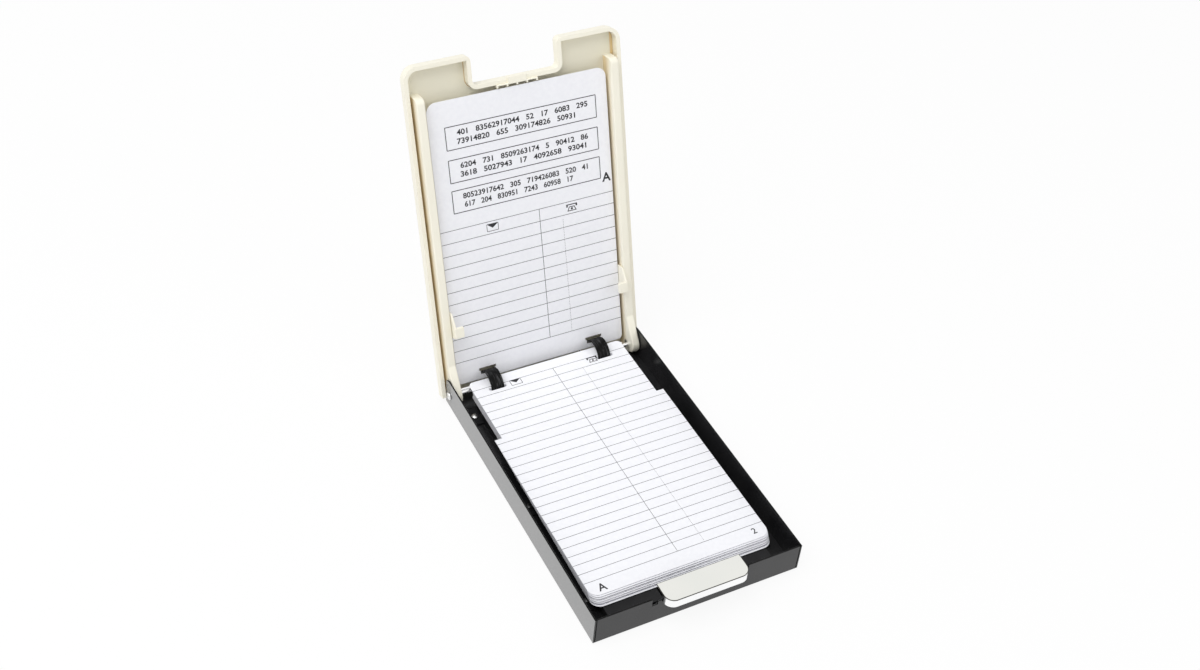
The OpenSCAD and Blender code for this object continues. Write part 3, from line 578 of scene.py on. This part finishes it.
rail_near, rail_far, rail_sunk = 0.0496, 0.0539, 0.0003
rail_z, rail_end, rail_round, arm_round, flare = 0.0091, 0.159, 0.003, 0.005, 0.016
outer_round, inner_round, arm_thinner = 0.0014, 0.0007, 0.00004
parts = [lid]
for side in (-1, 1):
    x0, x1 = sorted((side * rail_near, side * rail_far))
    outer, inner = side * rail_far, side * rail_near
    rail = box_piece((x0, hinge_y - rail_end, rail_z), (x1, lid_tail, panel_z + rail_sunk))
    bpy.ops.object.mode_set(mode="EDIT")
    round_edges(rail, lambda p: near(p.y, hinge_y - rail_end) and near(p.z, rail_z), rail_round, 8)
    round_edges(rail, lambda p: near(p.x, outer) and p.z < panel_z, outer_round, 4)
    round_edges(rail, lambda p: near(p.x, inner) and p.z < panel_z, inner_round, 3)
    for material in (lid_cream, lid_shade):
        rail.data.materials.append(material)
    pick(rail, "FACE", lambda p: near(p.x, outer) or near(p.x, inner))
    give_finish(rail, shade_slot)
    bpy.ops.object.mode_set(mode="OBJECT")
    bpy.ops.object.select_all(action="DESELECT")
    bpy.ops.mesh.primitive_cylinder_add(
        vertices=64, radius=arm_round, depth=rail_far - rail_near - arm_thinner,
        location=((outer + inner) / 2, hinge_y, hinge_z), rotation=(0, math.pi / 2, 0))
    arm = bpy.context.object
    bpy.ops.object.transform_apply(location=True, rotation=True, scale=True)
    arm_low, arm_high = x0 + arm_thinner / 2, x1 - arm_thinner / 2
    blend = box_piece((arm_low, hinge_y - flare, rail_z), (arm_high, hinge_y - flare + MM, rail_z + MM))
    blend.select_set(True)
    arm.select_set(True)
    bpy.context.view_layer.objects.active = arm
    bpy.ops.object.join()
    bpy.ops.object.mode_set(mode="EDIT")
    bpy.ops.mesh.select_all(action="SELECT")
    bpy.ops.mesh.convex_hull()
    bpy.ops.mesh.select_all(action="SELECT")
    bpy.ops.mesh.dissolve_limited(angle_limit=flat_angle)
    arm_outer, arm_inner = (arm_high, arm_low) if side > 0 else (arm_low, arm_high)
    round_edges(arm, lambda p: near(p.x, arm_outer), outer_round, 4)
    round_edges(arm, lambda p: near(p.x, arm_inner), inner_round, 3)
    bpy.ops.object.mode_set(mode="OBJECT")
    parts += [rail, arm]
for part in parts:
    part.data.transform(turn_open)
heel_reach, heel_drop, heel_round = 0.0042, 0.0067, 0.0006
for side in (-1, 1):
    x0, x1 = sorted((side * rail_near, side * rail_far))
    heel = box_piece((x0, hinge_y, hinge_z - heel_drop), (x1, hinge_y + heel_reach, hinge_z))
    bpy.ops.object.mode_set(mode="EDIT")
    round_edges(heel, lambda p: near(p.z, hinge_z - heel_drop), heel_round, 3)
    bpy.ops.object.mode_set(mode="OBJECT")
    parts.append(heel)
bpy.ops.object.select_all(action="DESELECT")
for part in parts:
    part.select_set(True)
    if not part.data.materials:
        part.data.materials.append(lid_cream)
bpy.context.view_layer.objects.active = lid
bpy.ops.object.join()
even_shading(lid, lid_smooth_angle)
stand_in(lid, "lid_shell", "lid")
catch_round = 0.00015
catch = softened("lid_catch", "lid_catch_moulded", catch_round, (lid_cream,), 2)
stand_in(catch, "lid_catch", "lid")


# Selector: bridge, ribbed grip and two fingers, moulded in the same cream plastic.
# The fingers' toes are well rounded, so that they slide along the cards' edges.
bridge_round, grip_round, toe_round = 0.0006, 0.0003, 0.00045
bridge = softened("selector_bridge", "selector_bridge_moulded", bridge_round, (lid_cream,))
stand_in(bridge, "selector_bridge", "selector")
grip = softened("selector_knob", "selector_grip", grip_round, (lid_cream,), 2)
stand_in(grip, "selector_knob", "selector")
for side in ("left", "right"):
    finger = softened("finger_" + side, "finger_" + side + "_moulded", toe_round, (lid_cream,), 4)
    stand_in(finger, "finger_" + side, "selector")


# Cards: white index board, faintly blue, cut with stepped edges and slotted for the arches.
# Every fourth card of the pack is greyish, a painted shade that marks the layers so they can be told apart.
def board(name, dark, light):
    """Card board with a fine fibre."""
    material, nodes, links, shader = new_material(name)
    fibre = object_noise(nodes, links, 500.0, detail=4.0)
    tint(nodes, links, fibre, shader, dark, light)
    roughen(nodes, links, fibre, shader, 0.55, 0.7)
    bump(nodes, links, fibre, shader, 0.05, 0.00005)
    return material


card_board = board("card_board", (0.87, 0.875, 0.915), (0.90, 0.905, 0.94))
card_layer_shade = board("card_layer_shade", (0.55, 0.55, 0.62), (0.66, 0.66, 0.72))
card_count, layer_shade_every = 20, 4
for number in range(1, card_count + 1):
    dress("index_card_%02d" % number, card_layer_shade if number % layer_shade_every == 0 else card_board)
dress("lid_card", card_board)
dress("letter_strip", card_board)


# Print on the open cards: thin matt ink, with rules, three framed notices, a column line,
# a dotted line, the index letter, a page number, and signs for address and telephone.
# Figures stand for the notices' wording.
ink_lift = 0.00002
dot_share, sign_share = 0.45, 0.62


def ink(name, dark, light):
    """Matt printing ink with fine specks."""
    material, nodes, links, shader = new_material(name)
    tint(nodes, links, object_noise(nodes, links, 3000.0), shader, dark, light)
    shader.inputs["Roughness"].default_value = 0.7
    return material


ink_black = ink("ink_black", (0.008, 0.008, 0.01), (0.03, 0.03, 0.035))
ink_grey = ink("ink_grey", (0.015, 0.015, 0.02), (0.08, 0.08, 0.09))


def ink_bar(x0, x1, s0, s1):
    """One printed bar: across the card from x0 to x1, and from s0 to s1 from the hinge axis."""
    return flat_piece((x0, hinge_y - s1), (x1, hinge_y - s0), 0)


def rule_line(x0, x1, s, width):
    """A printed rule across the card."""
    return ink_bar(x0, x1, s - width / 2, s + width / 2)


def column_line(x, s0, s1, width):
    """A printed line along the card."""
    return ink_bar(x - width / 2, x + width / 2, min(s0, s1), max(s0, s1))


def row_of(mark, step, count):
    """Repeats a mark at equal steps."""
    row = mark.modifiers.new("row", "ARRAY")
    row.use_relative_offset = False
    row.use_constant_offset = True
    row.constant_offset_displace = step
    row.count = count
    bpy.ops.object.modifier_apply(modifier=row.name)
    return mark


def dotted_line(x, s0, s1, width, pitch):
    """A row of short dots along the card."""
    dot = ink_bar(x - width / 2, x + width / 2, s0, s0 + dot_share * pitch)
    return row_of(dot, (0, -pitch, 0), int((s1 - s0) / pitch))


def ink_word(word, x, s, size, up, weight=0.0, width=None):
    """Printed letters or figures about x and s; up is 1 where they stand towards the hinge, else -1."""
    bpy.ops.object.select_all(action="DESELECT")
    bpy.ops.object.text_add(location=(0, 0, 0))
    text = bpy.context.object
    text.data.body = word
    text.data.size = size
    text.data.offset = weight
    text.data.align_x = "CENTER"
    text.data.align_y = "CENTER"
    text.data.resolution_u = 3
    bpy.ops.object.convert(target="MESH")
    text = bpy.context.object
    stretch = 1 if width is None else width / text.dimensions.x
    text.scale = (stretch, up, 1)
    text.location = (x, hinge_y - s, 0)
    bpy.ops.object.transform_apply(location=True, rotation=True, scale=True)
    return text


def envelope(x, s, wide, toward):
    """Sign for an address: an envelope with a dark flap; toward is 1 where up leads from the hinge."""
    half, tall, line, flap_share = wide / 2, sign_share * wide, 0.00028, 0.1
    low, high = s - tall / 2, s + tall / 2
    base, point = hinge_y - s - toward * tall / 2, hinge_y - s + toward * flap_share * tall
    bpy.ops.object.select_all(action="DESELECT")
    bpy.ops.mesh.primitive_circle_add(vertices=3, radius=1, fill_type="NGON")
    flap = bpy.context.object
    reach = (point - base) / 1.5
    flap.scale = (half / math.cos(math.radians(30)), reach, 1)
    flap.location = (x, base + reach / 2, 0)
    bpy.ops.object.transform_apply(location=True, rotation=True, scale=True)
    return [rule_line(x - half, x + half, low, line), rule_line(x - half, x + half, high, line),
            column_line(x - half, low, high, line), column_line(x + half, low, high, line), flap]


def telephone(x, s, wide, toward):
    """Sign for a telephone: a handset with its two ends over an outlined body with a dial."""
    half, tall = wide / 2, sign_share * wide
    waist_wide, foot_spread, outline, dial_round = 0.5 * wide, 1.7, 0.07 * wide, 0.1 * wide
    end_out, end_wide = 0.86 * half, 0.28 * half
    top, crown, waist, chin, dial_s, foot = [s + toward * share * tall
                                             for share in (0.5, 0.36, 0.16, 0.1, -0.17, -0.5)]
    body = column_line(x, waist, foot, waist_wide)
    bpy.ops.object.mode_set(mode="EDIT")
    pick(body, "EDGE", lambda p: near(p.y, hinge_y - foot))
    bpy.ops.transform.resize(value=(foot_spread, 1, 1), center_override=(x, hinge_y - foot, 0))
    bpy.context.tool_settings.mesh_select_mode = (False, False, True)
    bpy.ops.mesh.select_all(action="SELECT")
    bpy.ops.mesh.inset(thickness=outline)
    bpy.ops.mesh.delete(type="FACE")
    bpy.ops.object.mode_set(mode="OBJECT")
    bpy.ops.object.select_all(action="DESELECT")
    bpy.ops.mesh.primitive_circle_add(vertices=20, radius=dial_round, fill_type="NGON",
                                      location=(x, hinge_y - dial_s, 0))
    dial = bpy.context.object
    bpy.ops.object.transform_apply(location=True, rotation=True, scale=True)
    ends = [column_line(x + side * end_out, crown, chin, end_wide) for side in (-1, 1)]
    return [column_line(x, top, crown, wide), body, dial, *ends]


def print_on(name, marks, material, height, turned, down, body, lift=ink_lift):
    """Joins printed marks, gives the ink its thickness, and lays it on a face; down faces away from Z."""
    bpy.ops.object.select_all(action="DESELECT")
    for mark in marks:
        mark.select_set(True)
    bpy.context.view_layer.objects.active = marks[0]
    bpy.ops.object.join()
    printed = bpy.context.object
    printed.name = name
    bpy.ops.object.mode_set(mode="EDIT")
    bpy.ops.mesh.select_all(action="SELECT")
    bpy.ops.mesh.extrude_region_move(TRANSFORM_OT_translate={"value": (0, 0, -lift if down else lift)})
    bpy.ops.mesh.select_all(action="SELECT")
    bpy.ops.mesh.normals_make_consistent(inside=False)
    bpy.ops.object.mode_set(mode="OBJECT")
    printed.data.transform(Matrix.Translation((0, 0, height)))
    if turned:
        printed.data.transform(turn_open)
    printed.data.materials.clear()
    printed.data.materials.append(material)
    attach(printed, body)


card_half, neck_half = 0.0482, 0.0442
lid_card_z, tray_card_z = 0.0132, 0.0118
lid_card_far, tray_card_far = 0.1545, 0.1490
line_width, thin_line, dot_pitch = 0.00026, 0.0002, 0.0009

lid_pitch, lid_rules, lid_column_x, lid_dots_x, dots_end = 0.00665, 12, 0.0059, 0.0188, 0.075
lid_first = lid_card_far - 0.0668
lid_last = lid_first - (lid_rules - 1) * lid_pitch
marks = [row_of(rule_line(-card_half, card_half, lid_first, line_width), (0, lid_pitch, 0), lid_rules),
         column_line(lid_column_x, lid_last, lid_first, line_width),
         dotted_line(lid_dots_x, lid_last, lid_card_far - dots_end, thin_line, dot_pitch)]
box_left, box_right, box_tall, box_line = -0.0398, 0.0417, 0.0118, 0.00042
box_tops = (0.0135, 0.0305, 0.0465)
for box_top in box_tops:
    high = lid_card_far - box_top
    low = high - box_tall
    marks += [rule_line(box_left, box_right, s, box_line) for s in (low, high)]
    marks += [column_line(x, low, high, box_line) for x in (box_left, box_right)]
index_x, index_s, index_size, index_weight = 0.0450, lid_card_far - 0.0585, 0.0068, 0.00016
post_x, phone_x, sign_s, sign_wide = -0.0202, 0.0242, lid_card_far - 0.0701, 0.0062
marks.append(ink_word("A", index_x, index_s, index_size, -1, index_weight))
marks += envelope(post_x, sign_s, sign_wide, 1)
marks += telephone(phone_x, sign_s, sign_wide, 1)
print_on("lid_card_print", marks, ink_black, lid_card_z, True, True, "front_card")

notices = ((("401   83562917044   52   17   6083   295", 0.071),
            ("73914820   655   309174826   50931", 0.064)),
           (("6204   731   8509263174   5   90412   86", 0.070),
            ("3618   5027943   17   4092658   93041", 0.069)),
           (("80523917642   305   719426083   520   41", 0.069),
            ("617   204   830951   7243   60958   17", 0.060)))
word_size, word_indent, word_first, word_step, word_weight = 0.0039, 0.0060, 0.0037, 0.0045, 0.0001
marks = []
for box_top, rows in zip(box_tops, notices):
    for row, (line, wide) in enumerate(rows):
        s = lid_card_far - box_top - word_first - word_step * row
        marks.append(ink_word(line, box_left + word_indent + wide / 2, s, word_size, -1, word_weight, wide))
print_on("lid_card_notices", marks, ink_black, lid_card_z, True, True, "front_card")

tray_pitch, tray_rules, tray_line, tray_column_x, tray_dots_x = 0.00566, 25, 0.00023, 0.0015, 0.0164
tray_first = tray_card_far - 0.0085
tray_last = tray_first - (tray_rules - 1) * tray_pitch
top_step, leaf_step, leaf_card_z, leaf_lift = 0.041, 0.093, 0.0094, 0.00001


def card_rules(step):
    """Rules across a tray card, full wide in front of its step and narrow behind it, and a dotted line."""
    wide_rules = 1 + int((tray_first - step) / tray_pitch)
    neck_first = tray_first - wide_rules * tray_pitch
    wide_rule = rule_line(-card_half, card_half, tray_first, tray_line)
    wide_rows = row_of(wide_rule, (0, tray_pitch, 0), wide_rules)
    neck_rule = rule_line(-neck_half, neck_half, neck_first, tray_line)
    neck_rows = row_of(neck_rule, (0, tray_pitch, 0), tray_rules - wide_rules)
    return [wide_rows, neck_rows,
            dotted_line(tray_dots_x, tray_last + tray_pitch, tray_first, thin_line, dot_pitch)]


marks = card_rules(leaf_step) + [column_line(tray_column_x, tray_last, tray_first, thin_line)]
print_on("leaf_card_rules", marks, ink_grey, leaf_card_z, False, False, "lower_cards", lift=leaf_lift)
marks = card_rules(top_step)
print_on("tray_card_rules", marks, ink_grey, tray_card_z, False, False, "upper_cards")
index_x, index_s, index_size, index_weight = -0.0410, tray_card_far - 0.0036, 0.0060, 0.0001
page_x, page_s, page_size, page_weight = 0.0416, tray_card_far - 0.0046, 0.0048, 0.00005
post_x, phone_x, sign_s, sign_wide = -0.0206, 0.0240, 0.0066, 0.0060
marks = [column_line(tray_column_x, tray_last, tray_first, thin_line),
         ink_word("A", index_x, index_s, index_size, 1, index_weight),
         ink_word("2", page_x, page_s, page_size, 1, page_weight)]
marks += envelope(post_x, sign_s, sign_wide, -1) + telephone(phone_x, sign_s, sign_wide, -1)
print_on("tray_card_marks", marks, ink_black, tray_card_z, False, False, "upper_cards")


# Letters on the strip under the selector's window: black ink on the glued-in paper strip.
# There is one for each card, at the steps at which the selector stops.
strip_x, finger_s, letter_pitch, letter_size = 0.036, 0.0355, 0.0052, 0.0042
marks = [ink_word(letter, strip_x, finger_s + letter_pitch * (i + 1), letter_size, 1)
         for i, letter in enumerate("ABCDEFGHIKLMNOPRSTUW")]
print_on("strip_letters", marks, ink_black, lid_z, True, False, "lid")
